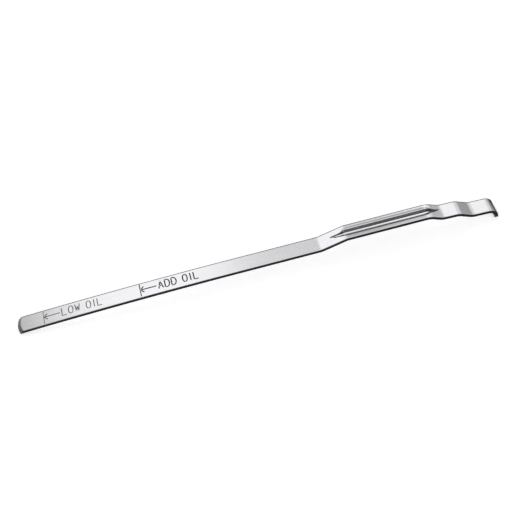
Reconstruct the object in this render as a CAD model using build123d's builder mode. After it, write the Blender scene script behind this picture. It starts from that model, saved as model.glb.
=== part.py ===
from build123d import *
import math
import os

# Engine oil dipstick: one flat steel strip, bent and pressed.
# Millimetres, +Z up, +X from the tip of the blade to the hook.

strip_width = 9.5
strip_thick = 2.0
edge_round = 0.35

# Blade: flat at its root, then bowed so that the tip drops.
blade_length = 164.5
blade_root_flat = 36.0
blade_tip_drop = 3.1
tip_nose_radius = 12.0
tip_corner_radius = 0.8
tip_bevel_length = 1.8
tip_bevel_height = 1.6

# Level lines stamped across the top face, measured from the tip.
low_line_from_tip = 14.5
high_line_from_tip = 66.8
level_line_length = 8.2
level_line_width = 0.55
level_line_depth = 0.25

# Joggle up to the grooved section.
joggle_run = 14.3
joggle_rise = 3.85
joggle_foot_radius = 11.0

# Grooved section: a channel between two flanges that rise outward to a flat land.
# At each end the channel runs out to a point on the bend.
grooved_length = 46.3
groove_half_width = 1.6
groove_wall_angle = 46.0
groove_bottom_radius = 1.0
groove_rim_radius = 0.4
flange_rise = 0.53
flange_land = 1.8
joggle_runout = 8.5
step_runout = 6.4

# Finger grip: two steps down, each with a flat, then the hook.
first_step_run = 6.6
first_step_drop = 3.2
first_flat_run = 9.4
second_step_run = 7.6
second_step_drop = 3.75
second_flat_run = 14.2
grip_droop = 2.3
hook_drop = 6.1
hook_inside_radius = 3.6

# Inside radius of the bends.
joggle_top_bend = 3.2
first_step_bend = 8.0
second_step_bend = 6.5

# Where the bends would meet as sharp corners, along the top face.
bow_root_x = blade_length - blade_root_flat
joggle_top_x = blade_length + joggle_run
groove_end_x = joggle_top_x + grooved_length
first_flat_x = groove_end_x + first_step_run
second_step_x = first_flat_x + first_flat_run
second_flat_x = second_step_x + second_step_run
hook_x = second_flat_x + second_flat_run
droop_slope = math.tan(math.radians(grip_droop))
first_flat_z = joggle_rise - first_step_drop
second_step_z = first_flat_z - first_flat_run * droop_slope
second_flat_z = second_step_z - second_step_drop
hook_z = second_flat_z - second_flat_run * droop_slope
hook_end_z = hook_z - hook_drop

# The nose outline is a little wider than the strip, so it never runs along the strip's sides.
nose_half_width = strip_width / 2 + edge_round / 4
tip_nose_depth = tip_nose_radius - math.sqrt(tip_nose_radius**2 - nose_half_width**2)
tip_bevel_foot_z = -blade_tip_drop - tip_bevel_height

# Channel walls and bead walls are one strip thickness apart; each pair would meet in a point.
dish_half = strip_width / 2 - flange_land
rim_z = joggle_rise - flange_rise
wall_slope = math.tan(math.radians(groove_wall_angle))
wall_secant = 1 / math.cos(math.radians(groove_wall_angle))
groove_point_z = rim_z - groove_half_width * wall_slope
groove_floor_z = groove_point_z + groove_bottom_radius * (wall_secant - 1)
bead_point_z = groove_point_z - strip_thick * wall_secant
bead_half_width = (rim_z - strip_thick - bead_point_z) / wall_slope

# Slope of the channel's floor along each run-out, so that it ends on the bend's top face.
groove_depth = joggle_rise - groove_floor_z
joggle_fall = joggle_rise / joggle_run - groove_depth / joggle_runout
step_fall = first_step_drop / first_step_run - groove_depth / step_runout

# Where the channel goes: start, direction and length of its level stretch and of each run-out,
# which is cut as far as the foot of its bend.
channel_stretches = (
    (joggle_top_x, (1, 0, 0), grooved_length),
    (joggle_top_x, (-1, 0, -joggle_fall), joggle_run * math.hypot(1, joggle_fall)),
    (groove_end_x, (1, 0, -step_fall), first_step_run * math.hypot(1, step_fall)),
)

# The strip lies on the lower edge of its tip and on the end of its hook.
tip_foot_z = -blade_tip_drop - strip_thick
rest_tilt = math.degrees(math.atan2(hook_end_z - tip_foot_z, hook_x))

# The top face seen from the side, from the root of the bow to the tip and to the hook.
with BuildLine() as top_line:
    bow = TangentArc((bow_root_x, 0), (0, -blade_tip_drop), tangent=(-1, 0))
    FilletPolyline(
        (bow_root_x, 0),
        (blade_length, 0),
        (joggle_top_x, joggle_rise),
        (groove_end_x, joggle_rise),
        (first_flat_x, first_flat_z),
        (second_step_x, second_step_z),
        (second_flat_x, second_flat_z),
        (hook_x, hook_z),
        (hook_x, hook_end_z),
        radius=(
            joggle_foot_radius,
            joggle_top_bend + strip_thick,
            first_step_bend + strip_thick,
            first_step_bend,
            second_step_bend + strip_thick,
            second_step_bend,
            hook_inside_radius + strip_thick,
        ),
    )

# The bead that the channel pushes out below, kept under the top face.
with BuildPart() as bead:
    for start_x, direction, length in channel_stretches:
        with BuildSketch(Plane.YZ.offset(start_x)) as bead_view:
            with BuildLine():
                Polyline(
                    (-dish_half, joggle_rise - strip_thick / 2),
                    (-dish_half, joggle_rise - strip_thick),
                    (-bead_half_width, rim_z - strip_thick),
                    (0, bead_point_z),
                    (bead_half_width, rim_z - strip_thick),
                    (dish_half, joggle_rise - strip_thick),
                    (dish_half, joggle_rise - strip_thick / 2),
                    close=True,
                )
            make_face()
            fillet(bead_view.vertices().group_by(Axis.Y)[0], groove_bottom_radius + strip_thick)
        extrude(amount=length, dir=direction)
    with BuildSketch(Plane.XZ):
        with BuildLine():
            add(top_line.line)
            Polyline(
                (hook_x, hook_end_z),
                (hook_x, hook_end_z - hook_drop),
                (0, hook_end_z - hook_drop),
                (0, -blade_tip_drop),
            )
        make_face()
    extrude(amount=strip_width, both=True, mode=Mode.INTERSECT)

with BuildPart() as strip:
    with BuildSketch(Plane.XZ):
        with BuildLine():
            add(top_line.line)
            offset(amount=strip_thick, side=Side.RIGHT, closed=True)
        make_face()
    extrude(amount=strip_width / 2, both=True)

    # Long edges and the end of the hook are softened.
    side_edges = strip.faces().filter_by(Axis.Y).edges()
    hook_edges = strip.faces().sort_by(Axis.Z)[0].edges().filter_by(Axis.Y)
    fillet(side_edges + hook_edges, edge_round)

    # Round nose with softened corners, then a bevel along its upper edge.
    with BuildSketch(Plane.XY) as plan:
        with BuildLine():
            nose = ThreePointArc(
                (tip_nose_depth, -nose_half_width),
                (0, 0),
                (tip_nose_depth, nose_half_width),
            )
            Polyline(
                nose @ 1,
                (2 * hook_x, nose_half_width),
                (2 * hook_x, -nose_half_width),
                nose @ 0,
            )
        make_face()
        fillet(plan.vertices().group_by(Axis.X)[0], tip_corner_radius)
    extrude(amount=hook_x, both=True, mode=Mode.INTERSECT)
    with BuildSketch(Plane((tip_nose_radius, 0, 0), x_dir=(-1, 1, 0), z_dir=(1, 1, 0))):
        with BuildLine():
            Polyline(
                (tip_nose_radius, tip_bevel_foot_z),
                (tip_nose_radius - tip_bevel_length, -blade_tip_drop),
                (tip_nose_radius - tip_bevel_length, 0),
                (tip_nose_radius + tip_bevel_length, 0),
                (tip_nose_radius + tip_bevel_length, tip_bevel_foot_z),
                close=True,
            )
        make_face()
    revolve(axis=Axis((tip_nose_radius, 0, 0), (0, 0, 1)), revolution_arc=90, mode=Mode.SUBTRACT)

    # Pressed channel: the bead goes on below and the channel comes out above.
    add(bead.part)
    for start_x, direction, length in channel_stretches:
        with BuildSketch(Plane.YZ.offset(start_x)) as channel_view:
            with BuildLine():
                Polyline(
                    (0, groove_point_z),
                    (groove_half_width, rim_z),
                    (dish_half, joggle_rise),
                    (dish_half, joggle_rise + strip_thick),
                    (-dish_half, joggle_rise + strip_thick),
                    (-dish_half, joggle_rise),
                    (-groove_half_width, rim_z),
                    close=True,
                )
            make_face()
            fillet(channel_view.vertices().group_by(Axis.Y)[0], groove_bottom_radius)
            rims = channel_view.vertices().filter_by_position(Axis.Y, rim_z, rim_z)
            fillet(rims, groove_rim_radius)
        extrude(amount=length, dir=direction, mode=Mode.SUBTRACT)

    # Level lines.
    for from_tip in (low_line_from_tip, high_line_from_tip):
        along = 1 - from_tip / bow.length
        spot = bow @ along
        lean = bow.tangent_angle_at(along) - 180
        with BuildSketch(Plane((spot.X, 0, spot.Y)).rotated((0, -lean, 0))):
            SlotOverall(level_line_length, level_line_width, rotation=90)
        extrude(amount=-level_line_depth, mode=Mode.SUBTRACT)

# Lying as it would come to rest, centred over the origin.
with BuildPart() as dipstick:
    with Locations(Location((0, 0, 0), (0, rest_tilt, 0))):
        add(strip.part)
box = dipstick.part.bounding_box()
dipstick.part.move(Location((-box.center().X, 0, -box.min.Z)))

os.makedirs("parts", exist_ok=True)
dipstick.part.label = "dipstick"
export_step(dipstick.part, "parts/dipstick.step")
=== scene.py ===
import math

import bpy
from mathutils import Matrix, Vector


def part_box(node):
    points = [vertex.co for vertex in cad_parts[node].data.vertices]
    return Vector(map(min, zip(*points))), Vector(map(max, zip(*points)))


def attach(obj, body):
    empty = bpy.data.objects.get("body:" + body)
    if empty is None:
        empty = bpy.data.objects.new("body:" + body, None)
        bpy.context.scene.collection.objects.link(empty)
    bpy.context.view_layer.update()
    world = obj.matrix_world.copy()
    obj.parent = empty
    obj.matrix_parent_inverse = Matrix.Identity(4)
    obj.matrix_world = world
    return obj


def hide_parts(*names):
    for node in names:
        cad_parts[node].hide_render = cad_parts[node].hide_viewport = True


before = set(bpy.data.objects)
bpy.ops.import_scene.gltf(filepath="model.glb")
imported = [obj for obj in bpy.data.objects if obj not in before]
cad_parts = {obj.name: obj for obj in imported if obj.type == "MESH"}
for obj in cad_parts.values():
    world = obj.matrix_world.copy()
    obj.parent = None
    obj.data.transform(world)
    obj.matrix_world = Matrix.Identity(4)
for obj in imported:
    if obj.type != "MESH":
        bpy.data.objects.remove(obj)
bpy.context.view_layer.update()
low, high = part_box("dipstick")

# Metres, +Z up, +X from the tip of the blade to the hook, as in the frame.
mm = 0.001

# The strip's sizes, as in the part's source.
strip_width = high.y - low.y
strip_thick = 2.0 * mm
edge_round = 0.35 * mm
blade_length = 164.5 * mm
blade_root_flat = 36.0 * mm
blade_tip_drop = 3.1 * mm
tip_nose_radius = 12.0 * mm
tip_corner_radius = 0.8 * mm
tip_bevel_length = 1.8 * mm
tip_bevel_height = 1.6 * mm
joggle_run = 14.3 * mm
joggle_rise = 3.85 * mm
joggle_foot_radius = 11.0 * mm
joggle_top_bend = 3.2 * mm
grooved_length = 46.3 * mm
groove_half_width = 1.6 * mm
groove_wall_angle = math.radians(46.0)
groove_bottom_radius = 1.0 * mm
flange_rise = 0.53 * mm
flange_land = 1.8 * mm
joggle_runout = 8.5 * mm
first_step_run = 6.6 * mm
first_step_drop = 3.2 * mm
first_step_bend = 8.0 * mm
first_flat_run = 9.4 * mm
second_step_run = 7.6 * mm
second_step_drop = 3.75 * mm
second_step_bend = 6.5 * mm
second_flat_run = 14.2 * mm
grip_droop = math.radians(2.3)
hook_drop = 6.1 * mm
hook_inside_radius = 3.6 * mm

# Sizes that differ from the solid's, and two slopes: the channel's veer and its flanges' ends.
crisp_edge = 0.15 * mm
groove_rim_blend = 0.15 * mm
groove_offset = 0.27 * mm
joggle_runout_bow = -0.6 * mm
joggle_runout_lift = 0.45 * mm
step_runout = 7.0 * mm
step_runout_bow = -0.75 * mm
step_runout_lift = 0.4 * mm
groove_veer = 0.24
flange_end_rise = 0.6

# Stamped marks: level lines measured from the tip, arrows and words from their own line.
low_line_from_tip = 14.5 * mm
high_line_from_tip = 66.8 * mm
level_line_length = 8.2 * mm
low_line_width = 0.35 * mm
high_line_width = 0.55 * mm
low_mark_width = 0.5 * mm
high_mark_width = 0.7 * mm
mark_depth = 0.22 * mm
arrow_point = 0.2 * mm
arrow_tail = 8.8 * mm
arrow_middle = 0.2 * mm
barb_length = 1.8 * mm
barb_spread = 1.9 * mm
word_start = 9.8 * mm
word_middle = 0.35 * mm
letter_height = 4.9 * mm
letter_pitch = 3.6 * mm
letter_width = 0.68 * letter_pitch
thin_letter_width = 0.35 * letter_pitch
letter_gap = 0.32 * letter_pitch

# Fineness of the strip's mesh.
ring_pitch = 0.4 * mm
bend_segments = 12
groove_column_pitch = 0.15 * mm
flat_column_pitch = 0.3 * mm
side_row_pitch = 0.35 * mm
fine_half_width = 1.2 * groove_half_width
edge_turns = (0.25, 0.5, 0.75)
punch_sides = 10
tip_seam_depth = 0.9 * strip_thick
weld_distance = 0.001 * mm
sharp_angle = math.radians(40.0)

# Finish of the metal, with a lighter shade for painted highlights and near black for the sheared sides
# and painted shade.
steel_tint = (1.0, 0.988, 1.02)
steel_shade = 0.86
steel_roughness = 0.22
# Where the press polished the steel: a lighter shade that is a painted highlight, also used on the first
# step, and a lower roughness.
painted_highlight_shade = 0.98
burnished_roughness = 0.12
brightest_shade = 0.98
# Near black, for the sheared sides' own dark steel and for all painted shade.
dark_steel_and_painted_shade = 0.03
edge_roughness = 0.5
stretched_roughness = 0.42
low_stamp_shade = 0.16
high_stamp_shade = 0.03
stamp_metallic = 0.8
stamp_roughness = 0.55

# How dark each darkened place is, from 0 as the bright steel to 1 as the sheared edge: painted shade on
# the far edge, bevel, hook end, channel wall and flange and run-outs, and a stain on the near land.
far_edge_painted_darkness = 0.9
bevel_painted_darkness = 0.82
hook_painted_darkness = 0.93
near_wall_painted_darkness = 0.7
far_flange_painted_darkness = 0.45
near_land_darkness = 0.25
runout_painted_darkness = 0.87
near_line_painted_darkness = 0.95

# Grain: length and width of its streaks, and how many finer layers it has.
fine_streaks = (14 * mm, 0.12 * mm, 3)
broad_streaks = (40 * mm, 1.6 * mm, 2)
clouds = (12 * mm, 9 * mm, 3)
blotches = (1.3 * mm, 0.9 * mm, 2)
speckles = (0.5 * mm, 0.3 * mm, 3)
layer_strength = 0.6

# How much the grain changes the shade, the roughness and the surface.
fine_contrast = 0.10
broad_contrast = 0.10
cloud_contrast = 0.08
edge_contrast = 0.6
blotch_contrast = 0.6
speckle_contrast = 0.8
fine_dulling = 0.10
cloud_dulling = 0.08
speckle_dulling = 0.2
grain_height = 0.02 * mm
grain_strength = 0.25

# Fades: where each starts and where it is full, from the edge, face or line that it belongs to.
side_fade = (0.4 * mm, 0.3 * mm)
side_fade_down = (0.06 * mm, 0.14 * mm)
far_edge_fade = (0.62 * mm, 0.4 * mm)
bevel_fade = (0.1 * mm, -0.15 * mm)
hook_fade = (3.7 * mm, 1.8 * mm)
top_fade = (strip_thick / 2, strip_thick / 4)
high_marks_fade = (-10 * mm, -5 * mm)

# Places across the channel: beside its middle, down from the top face, or across the strip.
line_soft_edge = 0.3 * mm
near_wall_fade = (0, -0.5 * mm)
near_wall_down = (0.05 * mm, 0.25 * mm, 1.4 * mm, 1.7 * mm)
near_land_across = (-4.5 * mm, -4.1 * mm, -2.9 * mm, -2.4 * mm)
far_wall_beside = (0.3 * mm, 0.6 * mm, 1.1 * mm, 1.5 * mm)
far_flange_middle = 2.55 * mm
far_flange_half = 0.2 * mm
floor_fade_down = (1.3 * mm, 1.6 * mm)

# Places at the channel's end on the joggle, with those along it measured from the joggle's top.
groove_start_fade = (-3.4 * mm, 2.6 * mm)
joggle_end_fade = (-0.2 * mm, -1.0 * mm)
joggle_floor_along = (-5.9 * mm, -4.4 * mm, -0.4 * mm, 0.6 * mm)
joggle_floor_middle = -0.3 * mm
joggle_floor_half = 0.45 * mm
joggle_floor_down = (0.1 * mm, 0.3 * mm)
far_line_along = (-8.8 * mm, -7.8 * mm, -2.4 * mm, -0.9 * mm)
far_line_across = 0.45 * mm
far_line_climb = 0.8
far_line_half = 0.3 * mm
near_line_along = (-6.9 * mm, -5.9 * mm, -0.6 * mm, 0.6 * mm)
near_line_across = -2.17 * mm
near_line_slope = -0.27
near_line_half = 0.3 * mm

# Places at the channel's end on the first step, with those along it measured from the groove's end.
groove_end_fade = (-1.2 * mm, -3.7 * mm)
step_end_along = (-0.9 * mm, 0.5 * mm, 5.1 * mm, 6.1 * mm)
far_step_end_along = (-2.5 * mm, -1.1 * mm, 5.1 * mm, 6.1 * mm)
runout_fade_down = (0.02 * mm, 0.12 * mm)
step_line_along = (1.3 * mm, 2.3 * mm, 5.5 * mm, 6.2 * mm)
step_line_across = -0.98 * mm
step_line_slope = 0.38
step_line_half = 0.2 * mm
land_end_along = (-2.4 * mm, -1.4 * mm, 0.1 * mm, 1.3 * mm)
land_end_fade = (1.4 * mm, 1.8 * mm)
stretched_along = (0.3 * mm, 2.3 * mm, 5.3 * mm, 7.3 * mm)
stretched_fade_down = (0.1 * mm, 0)

# Camera at the photograph's viewing angle, for a square picture.
camera_elevation = math.radians(50.0)
camera_turn = math.radians(-6.77)
camera_roll = math.radians(8.59)
camera_distance = 574.6 * mm
camera_aim = Vector((-1.55, 0, 10.58)) * mm
camera_lens = 76.76
camera_sensor = 36.0

# Studio: a white floor and a pale surround.
floor_size = 60.0
floor_shade = 0.9
floor_glow = 0.55
surround_shade = 0.45

# Softboxes: place, aim, width and height in millimetres, and the brightness that a mirror shows.
softboxes = {
    "wide_softbox": ((-70, 385, 470), (-70, 0, 5), 400, 220, 0.28),
    "blade_softbox": ((-113, 375, 430), (-113, 0, 5), 220, 260, 0.40),
    "grip_softbox": ((270, 370, 450), (110, 0, 8), 170, 220, 0.68),
    "side_softbox": ((420, 330, 320), (110, 0, 8), 160, 200, 0.35),
    "top_softbox": ((118, 205, 576), (70, 0, 12), 300, 150, 0.8),
    "overhead_softbox": ((100, -50, 610), (70, 0, 12), 300, 240, 0.35),
    "bend_softbox": ((440, -5, 615), (93, 2, 12), 160, 260, 1.0),
}

# Cards that the metal mirrors: place, aim, width and height in millimetres, and shade.
cards = {
    "front_card": ((260, -446, 544), (160, 0, 8), 480, 450, 0.05),
    "right_front_card": ((520, -440, 240), (110, 0, 8), 500, 320, 0.50),
    "low_front_card": ((0, -205, 66), (0, -173, 166), 1200, 420, 0.55),
    "low_back_card": ((20, 182, 96), (20, 135, 184), 240, 400, 0.02),
    "right_card": ((650, 350, 150), (110, 0, 8), 900, 300, 0.37),
}

# Where the bends would meet as sharp corners, along the top face.
bow_root_x = blade_length - blade_root_flat
joggle_top_x = blade_length + joggle_run
groove_end_x = joggle_top_x + grooved_length
first_flat_x = groove_end_x + first_step_run
second_step_x = first_flat_x + first_flat_run
second_flat_x = second_step_x + second_step_run
hook_x = second_flat_x + second_flat_run
first_flat_z = joggle_rise - first_step_drop
second_step_z = first_flat_z - first_flat_run * math.tan(grip_droop)
second_flat_z = second_step_z - second_step_drop
hook_z = second_flat_z - second_flat_run * math.tan(grip_droop)
hook_end_z = hook_z - hook_drop

# The nose outline is a little wider than the strip, so it never runs along the strip's sides.
nose_half_width = strip_width / 2 + edge_round / 4

# The pressed channel and the bead below it.
dish_half = strip_width / 2 - flange_land
rim_z = joggle_rise - flange_rise
wall_slope = math.tan(groove_wall_angle)
wall_secant = 1 / math.cos(groove_wall_angle)
groove_point_z = rim_z - groove_half_width * wall_slope
groove_depth = joggle_rise - groove_point_z - groove_bottom_radius * (wall_secant - 1)
bead_point_z = groove_point_z - strip_thick * wall_secant
bead_half_width = (rim_z - strip_thick - bead_point_z) / wall_slope
joggle_fall = joggle_rise / joggle_run - groove_depth / joggle_runout
step_fall = first_step_drop / first_step_run - groove_depth / step_runout

# How the strip lies: on the lower edge of its tip and on the end of its hook.
rest_tilt = math.atan2(hook_end_z + blade_tip_drop + strip_thick, hook_x)

# Inputs of the strip's node tree.
strip_inputs = {
    "Ring pitch": ring_pitch,
    "Strip thickness": strip_thick,
    "Nose half width": nose_half_width,
    "Nose radius": tip_nose_radius,
    "Nose corner radius": tip_corner_radius,
    "Tip seam depth": tip_seam_depth,
    "Bevel length": tip_bevel_length,
    "Bevel height": tip_bevel_height,
    "Bow root": bow_root_x,
    "Tip drop": blade_tip_drop,
    "Hook end": hook_end_z,
    "Joggle foot": blade_length,
    "Joggle top": joggle_top_x,
    "Joggle fall": joggle_fall,
    "Joggle run-out": joggle_runout,
    "Joggle run-out bow": joggle_runout_bow,
    "Joggle run-out lift": joggle_runout_lift,
    "Groove end": groove_end_x,
    "Groove half width": groove_half_width,
    "Groove point": groove_point_z,
    "Groove bottom radius": groove_bottom_radius,
    "Groove offset": groove_offset,
    "Groove veer": groove_veer,
    "Wall slope": wall_slope,
    "Rim height": rim_z,
    "Rim blend": groove_rim_blend,
    "Flange rise": flange_rise,
    "Flange end rise": flange_end_rise,
    "Dish half width": dish_half,
    "Bead point": bead_point_z,
    "Bead half width": bead_half_width,
    "Step foot": first_flat_x,
    "Step fall": step_fall,
    "Step run-out": step_runout,
    "Step run-out bow": step_runout_bow,
    "Step run-out lift": step_runout_lift,
}

# Single strokes of each letter, in widths and heights of the letter.
letter_strokes = {
    "A": (((0, 0), (0.5, 1)), ((0.5, 1), (1, 0)), ((0.2, 0.36), (0.8, 0.36))),
    "D": (
        ((0, 0), (0, 1)),
        ((0, 1), (0.5, 1), (0.8, 0.9), (1, 0.65), (1, 0.35), (0.8, 0.1), (0.5, 0), (0, 0)),
    ),
    "I": (((0.5, 0), (0.5, 1)),),
    "L": (((0, 1), (0, 0)), ((0, 0), (0.95, 0))),
    "O": (
        (
            (0.5, 0), (0.2, 0.08), (0.02, 0.3), (0.02, 0.7), (0.2, 0.92),
            (0.5, 1), (0.8, 0.92), (0.98, 0.7), (0.98, 0.3), (0.8, 0.08), (0.5, 0),
        ),
    ),
    "W": (
        ((0, 1), (0.25, 0)),
        ((0.25, 0), (0.5, 0.8)),
        ((0.5, 0.8), (0.75, 0)),
        ((0.75, 0), (1, 1)),
    ),
}
thin_letters = "I "


class Field:
    """A socket of a node tree, with arithmetic that adds Math nodes."""

    def __init__(self, graph, socket):
        self.graph = graph
        self.socket = socket

    def math(self, operation, *others):
        return self.graph.math(operation, self, *others)

    def __add__(self, other):
        return self.math("ADD", other)

    __radd__ = __add__

    def __sub__(self, other):
        return self.math("SUBTRACT", other)

    def __rsub__(self, other):
        return self.graph.math("SUBTRACT", other, self)

    def __mul__(self, other):
        return self.math("MULTIPLY", other)

    __rmul__ = __mul__

    def __truediv__(self, other):
        return self.math("DIVIDE", other)

    def __rtruediv__(self, other):
        return self.graph.math("DIVIDE", other, self)

    def __abs__(self):
        return self.math("ABSOLUTE")

    def __gt__(self, other):
        return self.math("GREATER_THAN", other)

    def __lt__(self, other):
        return self.math("LESS_THAN", other)

    def least(self, other):
        return self.math("MINIMUM", other)

    def most(self, other):
        return self.math("MAXIMUM", other)

    def root(self):
        return self.most(0).math("SQRT")

    def toward(self, other, share):
        """This value where share is 0, the other where it is 1."""
        return self + (other - self) * share


class Graph:
    """A node tree that is filled by calls of one method."""

    def __init__(self, tree):
        self.tree = tree

    def node(self, kind, settings=None, sockets=None, out=0):
        """A new node with its settings and sockets, known by one of its outputs if it has any."""
        made = self.tree.nodes.new(kind)
        for name, value in (settings or {}).items():
            setattr(made, name, value)
        for name, value in (sockets or {}).items():
            if isinstance(value, Field):
                self.tree.links.new(value.socket, made.inputs[name])
            else:
                made.inputs[name].default_value = value
        return Field(self, made.outputs[out]) if made.outputs else None

    def math(self, operation, *values):
        return self.node("ShaderNodeMath", {"operation": operation}, dict(enumerate(values)))

    def outputs(self, kind, sockets=None):
        """All outputs of a new node, by name."""
        made = self.node(kind, None, sockets).socket.node
        return {socket.name: Field(self, socket) for socket in made.outputs}

    def split(self, vector):
        """The three parts of a vector."""
        return self.outputs("ShaderNodeSeparateXYZ", {0: vector}).values()

    def soft_step(self, value, start, end):
        """0 before start, 1 after end, smooth between them."""
        return self.node(
            "ShaderNodeMapRange",
            {"interpolation_type": "SMOOTHSTEP"},
            {"Value": value, "From Min": start, "From Max": end},
        )

    def stretch(self, value, places):
        """1 between the two inner places and 0 beyond the two outer ones."""
        start, full, waning, end = places
        return self.soft_step(value, start, full) * self.soft_step(value, end, waning)

    def line(self, distance, half_width):
        """1 within half a line's width and 0 beyond its soft edge."""
        return self.soft_step(abs(distance), half_width + line_soft_edge, half_width)

    def named(self, name):
        """A number stored on the mesh under that name, for the strip's tree."""
        return self.node("GeometryNodeInputNamedAttribute", {"data_type": "FLOAT"}, {"Name": name})

    def shaded(self, name):
        """The same kind of number, for a material."""
        return self.node("ShaderNodeAttribute", {"attribute_name": name}, None, "Fac")

    def store(self, geometry, name, value, domain):
        return self.node(
            "GeometryNodeStoreNamedAttribute",
            {"data_type": "FLOAT", "domain": domain},
            {"Geometry": geometry, "Name": name, "Value": value},
        )

    def position(self):
        """Where each point is, in three parts."""
        return self.split(self.node("GeometryNodeInputPosition"))

    def moved(self, geometry, x, y, z):
        place = self.node("ShaderNodeCombineXYZ", None, {0: x, 1: y, 2: z})
        return self.node("GeometryNodeSetPosition", None, {"Geometry": geometry, "Position": place})

    def wire_curve(self, wire):
        """The curve along a wire object."""
        mesh = self.node(
            "GeometryNodeObjectInfo", {"transform_space": "ORIGINAL"}, {"Object": wire}, "Geometry"
        )
        return self.node("GeometryNodeMeshToCurve", None, {"Mesh": mesh})

    def colour(self, red, green, blue):
        return self.node("ShaderNodeCombineColor", None, {0: red, 1: green, 2: blue})

    def surface(self, shader):
        """The end of a material."""
        self.node("ShaderNodeOutputMaterial", None, {"Surface": shader})


def new_object(name, data):
    """An object that is part of the scene."""
    made = bpy.data.objects.new(name, data)
    bpy.context.scene.collection.objects.link(made)
    return made


def new_wire(name, points, edges, **numbers):
    """A wire of points and edges, with named numbers on its points."""
    mesh = bpy.data.meshes.new(name)
    mesh.from_pydata(points, edges, [])
    for number, values in numbers.items():
        mesh.attributes.new(number, "FLOAT", "POINT").data.foreach_set("value", values)
    return new_object(name, mesh)


def new_material(name):
    """A material with an empty node tree, and the graph that fills it."""
    material = bpy.data.materials.new(name)
    material.use_nodes = True
    material.node_tree.nodes.clear()
    return material, Graph(material.node_tree)


def spread(start, end, pitch):
    """Even places from start up to but not including end, about a pitch apart."""
    steps = max(1, round((end - start) / pitch))
    return [start + (end - start) * step / steps for step in range(steps)]


def strip_path():
    """The top face seen from the side, with a bend radius at each corner."""
    corners = (
        (-ring_pitch, 0, 0),
        (blade_length, 0, joggle_foot_radius),
        (joggle_top_x, joggle_rise, joggle_top_bend + strip_thick),
        (groove_end_x, joggle_rise, first_step_bend + strip_thick),
        (first_flat_x, first_flat_z, first_step_bend),
        (second_step_x, second_step_z, second_step_bend + strip_thick),
        (second_flat_x, second_flat_z, second_step_bend),
        (hook_x, hook_z, hook_inside_radius + strip_thick),
        (hook_x, hook_end_z - ring_pitch, 0),
    )
    points = [(x, 0, z) for x, z, bend in corners]
    edges = [(place, place + 1) for place in range(len(points) - 1)]
    return new_wire("strip_path", points, edges, bend=[bend for x, z, bend in corners])


def strip_section():
    """The strip's rounded section, finest where the channel is pressed."""
    half = strip_width / 2
    land = half - crisp_edge
    columns = spread(0, fine_half_width, groove_column_pitch)
    columns += spread(fine_half_width, dish_half, flat_column_pitch)
    columns += spread(dish_half, land, flat_column_pitch)
    columns.append(land)
    corner = []
    for share in edge_turns:
        turn = share * math.pi / 2
        corner.append((land + crisp_edge * math.sin(turn), crisp_edge * (math.cos(turn) - 1)))
    side = [(half, -depth) for depth in spread(crisp_edge, strip_thick / 2, side_row_pitch)]
    quarter = [(column, 0) for column in columns] + corner + side
    middle = [(half, -strip_thick / 2)]
    lower = [(across, -strip_thick - depth) for across, depth in reversed(quarter)]
    right_half = quarter + middle + lower
    left_half = [(-across, depth) for across, depth in reversed(right_half[1:-1])]
    points = (right_half + left_half)[::-1]
    count = len(points)
    return new_wire(
        "strip_section",
        [(-across, -depth, 0) for across, depth in points],
        [(place, (place + 1) % count) for place in range(count)],
        across=[across for across, depth in points],
        depth=[depth for across, depth in points],
    )


def word_strokes(word, start):
    """The strokes of a word that reads along the blade."""
    strokes = []
    left = start
    for letter in word:
        width = thin_letter_width if letter in thin_letters else letter_width
        for stroke in letter_strokes.get(letter, ()):
            strokes.append(
                [(left + width * u, word_middle + letter_height * (v - 0.5)) for u, v in stroke]
            )
        left += width + letter_gap
    return strokes


def arrow_strokes(point, tail):
    """A shaft and two barbs."""
    tip = (point, arrow_middle)
    return [
        [tip, (tail, arrow_middle)],
        [tip, (point + barb_length, arrow_middle + barb_spread)],
        [tip, (point + barb_length, arrow_middle - barb_spread)],
    ]


def blade_marks():
    """Level lines, arrows and words as wires over the blade's top face."""
    groups = []
    half_line = level_line_length / 2
    for line_x, line_width, word, width in (
        (low_line_from_tip, low_line_width, "LOW OIL", low_mark_width),
        (high_line_from_tip, high_line_width, "ADD OIL", high_mark_width),
    ):
        groups.append(([[(line_x, -half_line), (line_x, half_line)]], line_width))
        arrow = arrow_strokes(line_x + arrow_point, line_x + arrow_tail)
        groups.append((arrow + word_strokes(word, line_x + word_start), width))
    points, edges, radii = [], [], []
    for strokes, width in groups:
        radius = (width * width / 4 + mark_depth * mark_depth) / (2 * mark_depth)
        for stroke in strokes:
            first = len(points)
            edges += [(first + place, first + place + 1) for place in range(len(stroke) - 1)]
            points += [(x, y, radius - mark_depth) for x, y in stroke]
            radii += [radius] * len(stroke)
    return new_wire("blade_marks", points, edges, punch_radius=radii)


def swept_strip(graph, size, section):
    """The section swept along the path, with its bends rounded."""
    line = graph.node("GeometryNodeMeshToCurve", None, {"Mesh": size["Path"]})
    line = graph.node(
        "GeometryNodeFilletCurve",
        {"mode": "POLY"},
        {"Curve": line, "Count": bend_segments, "Radius": graph.named("bend")},
    )
    line = graph.node(
        "GeometryNodeResampleCurve",
        {"mode": "LENGTH"},
        {"Curve": line, "Length": size["Ring pitch"]},
    )
    return graph.node(
        "GeometryNodeCurveToMesh",
        None,
        {"Curve": line, "Profile Curve": graph.wire_curve(section), "Fill Caps": False},
    )


def nose_outline(y, size):
    """How far behind the tip's foremost point the nose starts, across the strip."""
    radius = size["Nose radius"]
    corner = size["Nose corner radius"]
    corner_y = size["Nose half width"] - corner
    reach = radius - corner
    corner_x = radius - (reach * reach - corner_y * corner_y).root()
    arc = radius - (radius * radius - y * y).root()
    across = abs(y) - corner_y
    rounded = corner_x - (corner * corner - across * across).root()
    return arc.toward(rounded, abs(y) > corner_y * radius / reach)


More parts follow.
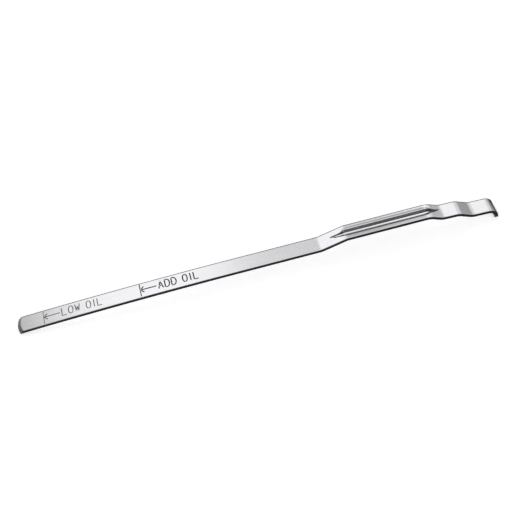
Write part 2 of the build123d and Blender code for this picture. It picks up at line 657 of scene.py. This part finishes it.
def shaped_ends(graph, size, strip):
    """Round nose with its bevel, and both ends closed by drawing the outermost ring together."""
    x, y, z = graph.position()
    depth = graph.named("depth")
    half_ring = size["Ring pitch"] / 2
    tip_end = x + half_ring < 0
    hook_end = z + half_ring < size["Hook end"]
    ahead = x.most(0)
    fade = (1 - ahead / size["Nose radius"]).most(0)
    ahead = ahead + nose_outline(y, size) * fade
    inward = (size["Nose radius"] - ahead).most(0)
    spoke = (inward * inward + y * y).root()
    bevel_slope = size["Bevel height"] / size["Bevel length"]
    bevel_z = (size["Nose radius"] - size["Bevel length"] - spoke) * bevel_slope
    shaped_x = ahead.toward(ahead - depth - size["Strip thickness"] / 2, hook_end)
    shaped_z = z.least(bevel_z).most(size["Hook end"])
    shaped_z = shaped_z.toward(0 - size["Tip seam depth"], tip_end)
    return graph.moved(strip, shaped_x, y, shaped_z)


def hump(share):
    """0 where share is 0 or 1 and 1 half way, flat outside."""
    return (share * (1 - share) * 4).most(0)


def valley(beside, point_z, radius, size):
    """A valley with straight walls that would meet at point_z and a rounded bottom."""
    slope = size["Wall slope"]
    secant = (slope * slope + 1).root()
    wall = point_z + abs(beside) * slope
    arc = point_z + radius * secant - (radius * radius - beside * beside).root()
    return wall.toward(arc, abs(beside) < radius * slope / secant)


def pressed_channel(graph, size, strip):
    """The channel pressed in from above and the bead that it pushes out below."""
    x, y, z = graph.position()
    depth = graph.named("depth")
    thick = size["Strip thickness"]

    # How the floor falls on the run-outs, and how far beside the channel's middle a point is.
    down_joggle = (size["Joggle top"] - x).most(0)
    down_step = (x - size["Groove end"]).most(0)
    joggle_hump = hump(down_joggle / size["Joggle run-out"])
    step_hump = hump(down_step / size["Step run-out"])
    fall = down_joggle * size["Joggle fall"] + down_step * size["Step fall"]
    fall = fall - joggle_hump * size["Joggle run-out lift"] - step_hump * size["Step run-out lift"]
    beside = y - size["Groove offset"] - down_step * size["Groove veer"]
    beside = beside - joggle_hump * size["Joggle run-out bow"] - step_hump * size["Step run-out bow"]

    # Walls and flanges above.
    flange_end = (down_joggle + down_step) * size["Flange end rise"]
    flange_slope = size["Flange rise"] / (size["Dish half width"] - size["Groove half width"])
    dish = (abs(beside) - size["Groove half width"]) * flange_slope
    dish = size["Rim height"] + dish + flange_end
    channel = valley(beside, size["Groove point"], size["Groove bottom radius"], size)
    channel = channel.math("SMOOTH_MIN", dish, size["Rim blend"])

    # Walls and flanges below.
    flange_slope = size["Flange rise"] / (size["Dish half width"] - size["Bead half width"])
    dish = (abs(beside) - size["Bead half width"]).most(0) * flange_slope
    dish = size["Rim height"] - thick + dish + flange_end
    bead = valley(beside, size["Bead point"], size["Groove bottom radius"] + thick, size)
    bead = bead.least(dish)

    pressed_z = channel.toward(bead, depth + thick / 2 < 0) - fall
    in_press = (x > size["Joggle foot"]) * (x < size["Step foot"])
    in_press = in_press * (abs(beside) < size["Dish half width"])
    strip = graph.store(strip, "beside", beside, "POINT")
    strip = graph.store(strip, "pressed", (z - pressed_z).most(0) * in_press, "POINT")
    return graph.moved(strip, x, y, z.toward(z.least(pressed_z), in_press))


def stamped_strip(graph, strip, marks):
    """The strip with its marks cut by a round punch."""
    punch = graph.node(
        "GeometryNodeCurvePrimitiveCircle", None, {"Resolution": punch_sides, "Radius": 1.0}
    )
    strokes = graph.node(
        "GeometryNodeCurveToMesh",
        None,
        {
            "Curve": graph.wire_curve(marks),
            "Profile Curve": punch,
            "Scale": graph.named("punch_radius"),
            "Fill Caps": True,
        },
    )
    strokes = graph.store(strokes, "stamped", 1.0, "FACE")
    return graph.node(
        "GeometryNodeMeshBoolean",
        {"operation": "DIFFERENCE", "solver": "MANIFOLD"},
        {"Mesh 1": strip, "Mesh 2": strokes},
    )


def bowed_blade(graph, size, strip):
    """The blade bent down toward its tip."""
    x, y, z = graph.position()
    share = (size["Bow root"] - x).most(0) / size["Bow root"]
    drop = size["Tip drop"] * share * share
    lean = z * size["Tip drop"] * share * -2 / size["Bow root"]
    return graph.moved(strip, x + lean, y, z - drop)


def strip_tree(section, marks, steel, stamped):
    """The node tree that makes the strip of two materials along the path that it is given."""
    tree = bpy.data.node_groups.new("pressed_strip", "GeometryNodeTree")
    tree.interface.new_socket("Path", in_out="INPUT", socket_type="NodeSocketGeometry")
    for name in strip_inputs:
        tree.interface.new_socket(name, in_out="INPUT", socket_type="NodeSocketFloat")
    tree.interface.new_socket("Strip", in_out="OUTPUT", socket_type="NodeSocketGeometry")
    graph = Graph(tree)
    size = graph.outputs("NodeGroupInput")
    strip = swept_strip(graph, size, section)
    strip = shaped_ends(graph, size, strip)
    strip = pressed_channel(graph, size, strip)
    strip = graph.node(
        "GeometryNodeMergeByDistance", None, {"Geometry": strip, "Distance": weld_distance}
    )
    strip = stamped_strip(graph, strip, marks)
    strip = bowed_blade(graph, size, strip)
    strip = graph.node("GeometryNodeSetShadeSmooth", None, {"Geometry": strip})
    strip = graph.node("GeometryNodeRealizeInstances", None, {"Geometry": strip})
    strip = graph.node("GeometryNodeSetMaterial", None, {"Geometry": strip, "Material": steel})
    strip = graph.node(
        "GeometryNodeSetMaterial",
        None,
        {"Geometry": strip, "Selection": graph.named("stamped"), "Material": stamped},
    )
    graph.node("NodeGroupOutput", None, {"Strip": strip})
    return tree


class StripPlace:
    """Where a shaded point lies on the strip."""

    def __init__(self, graph, place):
        self.x, self.y, _ = graph.split(place)
        self.across = graph.shaded("across")
        self.depth = graph.shaded("depth")
        self.beside = graph.shaded("beside")
        self.pressed = graph.shaded("pressed")
        self.on_top = graph.soft_step(0 - self.depth, *top_fade)
        self.past_joggle = self.x - (low.x + joggle_top_x)
        self.past_groove = self.x - (low.x + groove_end_x)


def grain(graph, place, streaks):
    """Noise drawn out along the strip, even about 0."""
    length, width, layers = streaks
    stretched = graph.node(
        "ShaderNodeMapping",
        {"vector_type": "POINT"},
        {"Vector": place, "Scale": (1 / length, 1 / width, 1 / width)},
    )
    noise = graph.node(
        "ShaderNodeTexNoise",
        {"noise_dimensions": "3D"},
        {"Vector": stretched, "Scale": 1.0, "Detail": layers, "Roughness": layer_strength},
        "Fac",
    )
    return noise - 0.5


def steel_colour(graph, shade):
    """The tint of the steel at a shade."""
    return graph.colour(*(shade * share for share in steel_tint))


def dark_sides_and_painted_edge_shade(graph, at):
    """Sheared sides, partly their own dark steel and partly painted shade, and painted shade on the far
    edge, the bevelled nose and the end of the hook.
    """
    half = strip_width / 2
    side = graph.soft_step(half - abs(at.across), *side_fade)
    side = side * graph.soft_step(0 - at.depth, *side_fade_down)
    far_edge = graph.soft_step(half - at.across, *far_edge_fade)
    inward = (low.x + tip_nose_radius - at.x).most(0)
    spoke = (inward * inward + at.y * at.y).root()
    bevel = graph.soft_step(tip_nose_radius - tip_bevel_length - spoke, *bevel_fade)
    hook = graph.soft_step(high.x - at.x, *hook_fade)
    painted_shade_and_dark_steel = side.most(far_edge * far_edge_painted_darkness)
    return painted_shade_and_dark_steel.most(bevel * bevel_painted_darkness).most(hook * hook_painted_darkness)


def joggle_end_floor(graph, at):
    """The channel's floor where it runs out on the joggle, which gets a painted highlight."""
    floor = graph.line(at.beside - joggle_floor_middle, joggle_floor_half)
    floor = floor * graph.stretch(at.past_joggle, joggle_floor_along)
    return at.on_top * floor * graph.soft_step(at.pressed, *joggle_floor_down)


def channel_painted_shade_and_stain(graph, at, joggle_floor):
    """Painted shade along the channel's near wall and its far flange, and a stain on the near land."""
    grooved = graph.soft_step(at.past_joggle, *groove_start_fade)
    grooved = grooved * graph.soft_step(at.past_groove, *groove_end_fade)
    near_wall = graph.soft_step(at.beside, *near_wall_fade) * graph.stretch(at.pressed, near_wall_down)
    near_wall = near_wall * (1 - joggle_floor)
    far_flange = grooved * graph.line(at.beside - far_flange_middle, far_flange_half)
    near_land = grooved * graph.stretch(at.across, near_land_across)
    darkening = (near_wall * near_wall_painted_darkness).most(far_flange * far_flange_painted_darkness)
    return at.on_top * darkening.most(near_land * near_land_darkness)


def runout_painted_shade(graph, at):
    """Painted shade in the points that the channel runs out to, and painted shade lines along their
    walls.
    """
    far_wall = graph.stretch(at.beside, far_wall_beside)
    step_end = graph.stretch(at.past_groove, step_end_along)
    step_end = step_end.most(graph.stretch(at.past_groove, far_step_end_along) * far_wall)
    joggle_end = graph.soft_step(at.past_joggle, *joggle_end_fade) * far_wall
    ends = step_end.most(joggle_end) * graph.soft_step(at.pressed, *runout_fade_down)

    step_line = at.across - step_line_across - at.past_groove * step_line_slope
    step_line = graph.line(step_line, step_line_half) * graph.stretch(at.past_groove, step_line_along)
    far_line = at.across - far_line_across - at.pressed * far_line_climb
    far_line = graph.line(far_line, far_line_half) * graph.stretch(at.past_joggle, far_line_along)
    near_line = at.across - near_line_across - at.past_joggle * near_line_slope
    near_line = graph.line(near_line, near_line_half) * graph.stretch(at.past_joggle, near_line_along)

    darkening = ends.most(step_line).most(far_line) * runout_painted_darkness
    return at.on_top * darkening.most(near_line * near_line_painted_darkness)


def polish_and_painted_highlights(graph, at, joggle_floor):
    """Where the press polished the steel, with a lower roughness and a lighter shade that is a painted
    highlight: the channel's floor, also where it runs out on the joggle, and the far land's end at the
    first step.
    """
    floor = graph.soft_step(at.pressed, *floor_fade_down)
    land_end = graph.stretch(at.past_groove, land_end_along)
    land_end = land_end * graph.soft_step(at.across, *land_end_fade)
    return (at.on_top * floor.most(land_end)).most(joggle_floor)


def satin_steel():
    """Bright strip with a fine grain along it, dark sheared sides, painted shade on edges, channel and
    run-outs, a stain on the near land, painted highlights where the press polished it, and a rougher,
    mottled first step painted lighter.
    """
    material, graph = new_material("satin_steel")
    place = graph.node("ShaderNodeTexCoord", None, None, "Object")
    fine = grain(graph, place, fine_streaks)
    broad = grain(graph, place, broad_streaks)
    cloudy = grain(graph, place, clouds)
    blotchy = grain(graph, place, blotches)

    at = StripPlace(graph, place)
    joggle_floor = joggle_end_floor(graph, at)
    # Painted highlight and lower roughness where the press polished the steel.
    polish_and_highlight = polish_and_painted_highlights(graph, at, joggle_floor)
    # The first step, where the metal is stretched: rougher and mottled, with a lighter shade that is a
    # painted highlight.
    stretched = graph.stretch(at.past_groove, stretched_along)
    stretched = stretched * graph.soft_step(at.pressed, *stretched_fade_down)
    # Painted shade on edges, channel and run-outs, the sheared sides' own dark steel, and a stain on the
    # near land.
    painted_shade_and_dark_steel = dark_sides_and_painted_edge_shade(graph, at).most(channel_painted_shade_and_stain(graph, at, joggle_floor))
    painted_shade_and_dark_steel = painted_shade_and_dark_steel.most(runout_painted_shade(graph, at))

    shade = 1 + fine * fine_contrast + broad * broad_contrast + cloudy * cloud_contrast
    shade = shade + blotchy * stretched * blotch_contrast
    shade = shade * (steel_shade + polish_and_highlight.most(stretched) * (painted_highlight_shade - steel_shade))
    shade = shade.toward(dark_steel_and_painted_shade * (1 + broad * edge_contrast), painted_shade_and_dark_steel)
    roughness = steel_roughness + fine * fine_dulling + cloudy * cloud_dulling
    roughness = roughness + stretched * stretched_roughness
    roughness = roughness.toward(burnished_roughness, polish_and_highlight)
    roughness = roughness.toward(edge_roughness, painted_shade_and_dark_steel)
    bump = graph.node(
        "ShaderNodeBump",
        None,
        {"Strength": grain_strength, "Distance": grain_height, "Height": fine},
    )
    shader = graph.node(
        "ShaderNodeBsdfPrincipled",
        None,
        {
            "Base Color": steel_colour(graph, shade.least(brightest_shade)),
            "Metallic": 1.0,
            "Roughness": roughness,
            "Normal": bump,
        },
    )
    graph.surface(shader)
    return material


def stamped_steel():
    """The floor of a stamped mark, dulled by the punch and by old oil, darkest at the upper line."""
    material, graph = new_material("stamped_marks")
    place = graph.node("ShaderNodeTexCoord", None, None, "Object")
    speckle = grain(graph, place, speckles)
    x, _, _ = graph.split(place)
    high_marks = graph.soft_step(x - (low.x + high_line_from_tip), *high_marks_fade)
    shade = low_stamp_shade + high_marks * (high_stamp_shade - low_stamp_shade)
    shade = shade * (1 + speckle * speckle_contrast)
    shader = graph.node(
        "ShaderNodeBsdfPrincipled",
        None,
        {
            "Base Color": steel_colour(graph, shade),
            "Metallic": stamp_metallic,
            "Roughness": stamp_roughness + speckle * speckle_dulling,
        },
    )
    graph.surface(shader)
    return material


def strip_mesh():
    """The strip as a plain mesh, made by its node tree."""
    path = strip_path()
    section = strip_section()
    marks = blade_marks()
    tree = strip_tree(section, marks, satin_steel(), stamped_steel())
    maker = path.modifiers.new("pressed_strip", "NODES")
    maker.node_group = tree
    for socket in tree.interface.items_tree:
        if socket.name in strip_inputs:
            maker[socket.identifier] = strip_inputs[socket.name]
    ready = path.evaluated_get(bpy.context.evaluated_depsgraph_get())
    mesh = bpy.data.meshes.new_from_object(ready)
    for helper in (path, section, marks):
        bpy.data.objects.remove(helper)

    # The boolean cut leaves an empty material slot in front.
    while mesh.materials[0] is None:
        mesh.materials.pop(index=0)
    return mesh


def make_strip():
    """The dressed strip, lying as the CAD node lies and fitted to its box."""
    mesh = strip_mesh()
    mesh.name = "dipstick_strip"
    mesh.transform(Matrix.Rotation(rest_tilt, 4, "Y"))
    places = [vertex.co for vertex in mesh.vertices]
    mesh_low = Vector([min(place[axis] for place in places) for axis in range(3)])
    mesh_high = Vector([max(place[axis] for place in places) for axis in range(3)])
    scales = [(high[axis] - low[axis]) / (mesh_high[axis] - mesh_low[axis]) for axis in range(3)]
    fit = Matrix.Diagonal((*scales, 1))
    mesh.transform(Matrix.Translation(low) @ fit @ Matrix.Translation(-mesh_low))
    mesh.set_sharp_from_angle(angle=sharp_angle)
    return new_object("dipstick_strip", mesh)


def place_camera():
    """A camera that looks at the strip from in front and above, a little rolled."""
    back = Vector(
        (
            math.sin(camera_turn) * math.cos(camera_elevation),
            -math.cos(camera_turn) * math.cos(camera_elevation),
            math.sin(camera_elevation),
        )
    )
    right = Vector((math.cos(camera_turn), math.sin(camera_turn), 0))
    up = back.cross(right)
    rolled_right = right * math.cos(camera_roll) - up * math.sin(camera_roll)
    rolled_up = right * math.sin(camera_roll) + up * math.cos(camera_roll)
    turned = Matrix((rolled_right, rolled_up, back)).transposed().to_4x4()
    camera = new_object("camera", bpy.data.cameras.new("camera"))
    camera.data.lens = camera_lens
    camera.data.sensor_width = camera_sensor
    camera.matrix_world = Matrix.Translation(camera_aim + back * camera_distance) @ turned
    bpy.context.scene.camera = camera


def facing(place, aim):
    """The placing of something flat at place that faces aim, both in millimetres."""
    place, aim = Vector(place) * mm, Vector(aim) * mm
    return Matrix.Translation(place) @ (place - aim).to_track_quat("Z", "Y").to_matrix().to_4x4()


def grey(shade):
    """A plain grey as a colour."""
    return (shade, shade, shade, 1)


def panel(name, width, height, material):
    """A flat rectangle round the origin."""
    mesh = bpy.data.meshes.new(name)
    corners = ((-1, -1), (1, -1), (1, 1), (-1, 1))
    mesh.from_pydata([(u * width / 2, v * height / 2, 0) for u, v in corners], [], [(0, 1, 2, 3)])
    mesh.materials.append(material)
    return new_object(name, mesh)


def studio_floor():
    """A white floor that keeps the object's shadow."""
    material, graph = new_material("white_floor")
    ray = graph.outputs("ShaderNodeLightPath")
    seen = ray["Is Camera Ray"].most(ray["Is Glossy Ray"]).most(ray["Is Transmission Ray"])
    glow = seen * floor_glow
    shader = graph.node(
        "ShaderNodeBsdfPrincipled",
        None,
        {
            "Base Color": grey(floor_shade),
            "Roughness": 1.0,
            "Specular IOR Level": 0.0,
            "Emission Color": graph.colour(glow, glow, glow),
            "Emission Strength": 1.0,
        },
    )
    graph.surface(shader)
    panel("floor", floor_size, floor_size, material)


def softbox(name, place, aim, width, height, brightness):
    """An area lamp that shows the given brightness in a mirror."""
    lamp = bpy.data.lights.new(name, "AREA")
    lamp.shape = "RECTANGLE"
    lamp.size = width * mm
    lamp.size_y = height * mm
    lamp.energy = brightness * math.pi * lamp.size * lamp.size_y
    new_object(name, lamp).matrix_world = facing(place, aim)


def card(name, place, aim, width, height, shade):
    """A plain card that only reflections show."""
    material, graph = new_material(name)
    graph.surface(graph.node("ShaderNodeEmission", None, {"Color": grey(shade)}))
    board = panel(name, width * mm, height * mm, material)
    board.matrix_world = facing(place, aim)
    board.visible_camera = False
    board.visible_diffuse = False
    board.visible_shadow = False


def pale_surround():
    """An even grey world, which lights the strip from all sides."""
    world = bpy.data.worlds.new("surround")
    world.use_nodes = True
    world.node_tree.nodes["Background"].inputs["Color"].default_value = grey(surround_shade)
    bpy.context.scene.world = world


strip = make_strip()
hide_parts("dipstick")
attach(strip, "root")

place_camera()
studio_floor()
for name, values in softboxes.items():
    softbox(name, *values)
for name, values in cards.items():
    card(name, *values)
pale_surround()
bpy.context.scene.view_settings.view_transform = "Standard"
